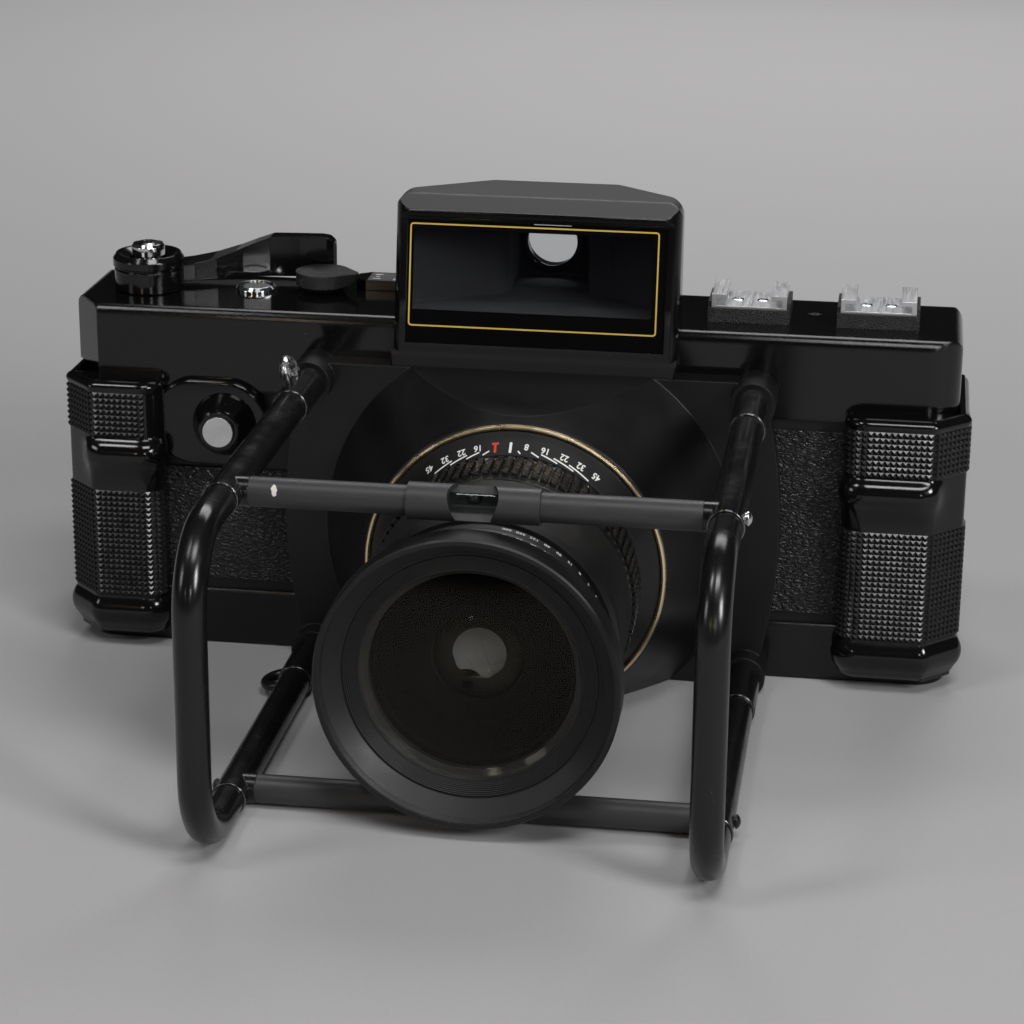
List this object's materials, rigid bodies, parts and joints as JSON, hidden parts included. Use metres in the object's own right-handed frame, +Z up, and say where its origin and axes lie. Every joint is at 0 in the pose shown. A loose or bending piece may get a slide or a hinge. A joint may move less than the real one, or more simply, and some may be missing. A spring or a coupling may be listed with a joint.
{
  "type": "panoramic camera",
  "caption": "Wide-format roll-film panoramic camera with bright-frame finder, focusing lens behind a tubular guard, moulded grips, wind lever and a hinged back.",
  "frame": {"origin": "mouth of the small tripod socket in the base, under the lens axis; the base plane is z = 0", "axes": "+X to the right seen from the front, +Y to the back of the camera, +Z up"},
  "size_m": [0.268, 0.2117, 0.14],
  "materials": {
    "black_casting": "black painted casting",
    "gloss_black": "gloss black enamel on metal",
    "satin_black": "satin black crackle",
    "lens_black": "satin black anodised",
    "lens_inner": "matt black",
    "matt_black_metal": "matt black",
    "guard_black": "semi-gloss black paint",
    "sleeve_black": "matt black sleeve",
    "bright_steel": "brushed",
    "worn_lug": "black paint worn to bright metal",
    "bright_chrome": "polished",
    "brushed_button": "radial brushed",
    "gold_ring": "champagne gold anodised",
    "brass_gear": "machined",
    "leatherette": "coarse creased grain",
    "grip_black": "gloss black moulding",
    "gloss_black_plastic": "gloss black",
    "finder_black": "semi-gloss black",
    "matt_black_plastic": "fine grain",
    "spool_plastic": "moulded",
    "counter_black": "black with white marks",
    "pad_rubber": "pyramid pattern",
    "focus_rubber": "ribbed",
    "finder_glass": "clear",
    "lens_glass": "coated",
    "vial_glass": "clear"
  },
  "bodies": {
    "camera": {"body_shell": "black_casting", "mech_plate": "bright_steel", "top_cover": "gloss_black", "bottom_cover": "gloss_black", "tripod_plate": "bright_steel", "front_plate": "satin_black", "leather_panels": "leatherette", "grip_release_side": "grip_black", "grip_plain_side": "grip_black", "pads_release_side": "pad_rubber", "pads_plain_side": "pad_rubber", "film_gate": "matt_black_metal", "shoe_bases": "matt_black_plastic", "shoe_rails": "bright_steel", "finder_housing": "finder_black", "finder_window": "finder_glass", "eyepiece_ring": "pad_rubber", "eye_lens": "finder_glass", "lens_trim_ring": "gold_ring", "depth_scale_ring": "lens_black", "guard_legs": "guard_black", "guard_loop_left": "guard_black", "guard_loop_right": "guard_black", "guard_bars": "bright_steel", "bar_sleeves": "sleeve_black", "level_housing": "sleeve_black", "level_vial": "vial_glass", "guard_screws": "bright_steel", "strap_lugs": "worn_lug", "counter_bezel": "bright_chrome", "counter_window": "vial_glass", "selector_plate": "gloss_black_plastic", "release_collar": "gloss_black_plastic", "hinge_pin": "bright_steel"},
    "wind": {"wind_lever": "gloss_black_plastic", "wind_shaft": "bright_steel", "takeup_spool": "spool_plastic"},
    "release": {"release_button": "bright_chrome"},
    "idler": {"idler_gear": "brass_gear"},
    "counter": {"counter_disc": "counter_black"},
    "selector": {"selector_knob": "matt_black_plastic"},
    "front_release": {"release_plunger": "brushed_button"},
    "focus": {"focus_ring": "focus_rubber"},
    "lens_unit": {"lens_barrel": "lens_black", "front_ring": "lens_black", "front_glass": "lens_glass", "front_cell": "lens_inner", "inner_glass": "lens_glass", "iris_blades": "lens_inner", "rear_cell": "lens_inner", "rear_glass": "lens_glass"},
    "speed": {"speed_ring": "lens_black"},
    "aperture": {"aperture_ring": "lens_black"},
    "door": {"back_door": "black_casting", "door_leather": "leatherette", "pressure_plate": "matt_black_metal"},
    "latch": {"door_latch": "gloss_black"},
    "left_roller": {"roller_left": "bright_steel"},
    "right_roller": {"roller_right": "bright_steel"},
    "supply": {"supply_spool": "spool_plastic"}
  },
  "joints": [
    {"name": "wind_turn", "type": "hinge", "parent": "camera", "child": "wind", "pos_m": [-0.12, 0, 0.104], "axis": [0, 0, 1], "range_deg": [0, 135]},
    {"name": "release_press", "type": "slide", "parent": "camera", "child": "release", "axis": [0, 0, -1], "range_m": [0, 0.0024], "stiffness_N_per_m": 400},
    {"name": "idler_turn", "type": "hinge", "parent": "camera", "child": "idler", "pos_m": [-0.10767, 0.00663, 0.084], "axis": [0, 0, 1], "range_deg": [-102, 0]},
    {"name": "counter_turn", "type": "hinge", "parent": "camera", "child": "counter", "pos_m": [-0.088, 0.003, 0.084], "axis": [0, 0, 1], "range_deg": [0, 68]},
    {"name": "selector_turn", "type": "hinge", "parent": "camera", "child": "selector", "pos_m": [-0.068, 0.006, 0.104], "axis": [0, 0, 1], "range_deg": [-10, 25]},
    {"name": "front_release_press", "type": "slide", "parent": "camera", "child": "front_release", "axis": [0, 1, 0], "range_m": [0, 0.003], "stiffness_N_per_m": 400},
    {"name": "focus_turn", "type": "hinge", "parent": "camera", "child": "focus", "pos_m": [0, -0.078, 0.0429], "axis": [0, -1, 0], "range_deg": [0, 122]},
    {"name": "lens_travel", "type": "slide", "parent": "camera", "child": "lens_unit", "axis": [0, -1, 0], "range_m": [0, 0.0038]},
    {"name": "speed_turn", "type": "hinge", "parent": "lens_unit", "child": "speed", "pos_m": [0, -0.12, 0.0429], "axis": [0, -1, 0], "range_deg": [0, 150]},
    {"name": "aperture_turn", "type": "hinge", "parent": "lens_unit", "child": "aperture", "pos_m": [0, -0.124, 0.0429], "axis": [0, -1, 0], "range_deg": [0, 75]},
    {"name": "door_swing", "type": "hinge", "parent": "camera", "child": "door", "pos_m": [-0.1386, 0.0265, 0.04], "axis": [0, 0, 1], "range_deg": [0, 110]},
    {"name": "latch_slide", "type": "slide", "parent": "door", "child": "latch", "axis": [0, 0, 1], "range_m": [0, 0.005]},
    {"name": "left_roller_spin", "type": "hinge", "parent": "camera", "child": "left_roller", "pos_m": [-0.0914, 0.0174, 0.042], "axis": [0, 0, 1], "continuous": true},
    {"name": "right_roller_spin", "type": "hinge", "parent": "camera", "child": "right_roller", "pos_m": [0.0914, 0.0174, 0.042], "axis": [0, 0, 1], "continuous": true},
    {"name": "supply_spin", "type": "hinge", "parent": "camera", "child": "supply", "pos_m": [0.10345, 0, 0.042], "axis": [0, 0, 1], "continuous": true}
  ],
  "couplings": [
    {"joint": "idler_turn", "follows": "wind_turn", "ratio": -0.75},
    {"joint": "counter_turn", "follows": "wind_turn", "ratio": 0.5},
    {"joint": "focus_turn", "follows": "lens_travel", "rad_per_m": 551.16}
  ]
}
